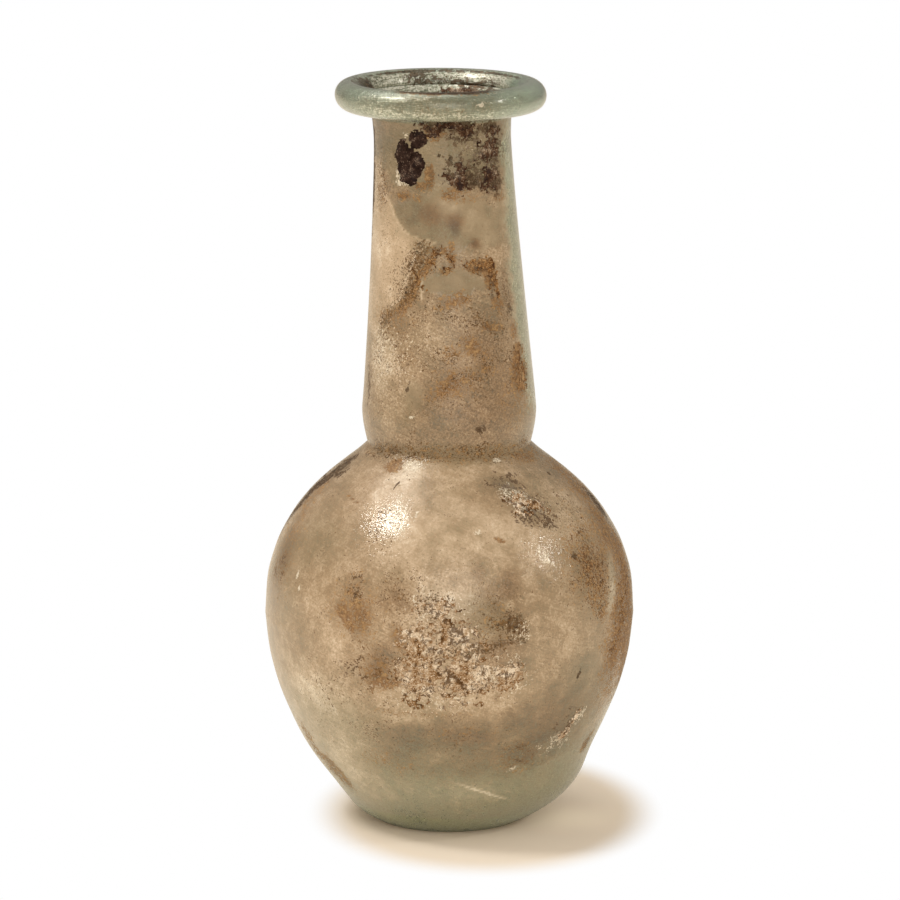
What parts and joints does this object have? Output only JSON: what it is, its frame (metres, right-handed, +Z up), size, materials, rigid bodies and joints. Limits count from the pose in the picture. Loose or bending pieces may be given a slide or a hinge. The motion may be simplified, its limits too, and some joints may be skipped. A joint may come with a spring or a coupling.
{
  "type": "ancient glass flask",
  "caption": "Free-blown glass flask with a rounded body, pinched neck base, tall tapering neck, folded rim, kicked base and patches of burial crust.",
  "frame": {"origin": "centre of the resting ring under the base, on the surface it stands on", "axes": "+Z up through the neck, -Y towards the pictured front, +X towards the picture's right"},
  "size_m": [0.0666, 0.0674, 0.1345],
  "materials": {
    "base_glass": "thick olive-green glass",
    "scar_glass": "rough broken glass",
    "filmed_glass": "pale green glass under a tan weathering film",
    "rim_glass": "fire-smoothed pale green glass",
    "dark_crust": "matt purple-brown burial crust",
    "rust_crust": "granular orange-brown burial crust",
    "lime_crust": "pitted beige burial crust"
  },
  "bodies": {
    "root": {"base": "base_glass", "pontil_scar": "scar_glass", "body_wall": "filmed_glass", "neck_wall": "filmed_glass", "mouth_flare": "rim_glass", "folded_rim": "rim_glass", "neck_crust_left": "dark_crust", "neck_crust_right": "dark_crust", "mouth_crust": "dark_crust", "neck_rust_left": "rust_crust", "neck_rust_right": "rust_crust", "neck_rust_low": "rust_crust", "flank_rust": "rust_crust", "shoulder_crust": "lime_crust", "belly_crust": "lime_crust", "heel_crust": "lime_crust"}
  },
  "joints": []
}
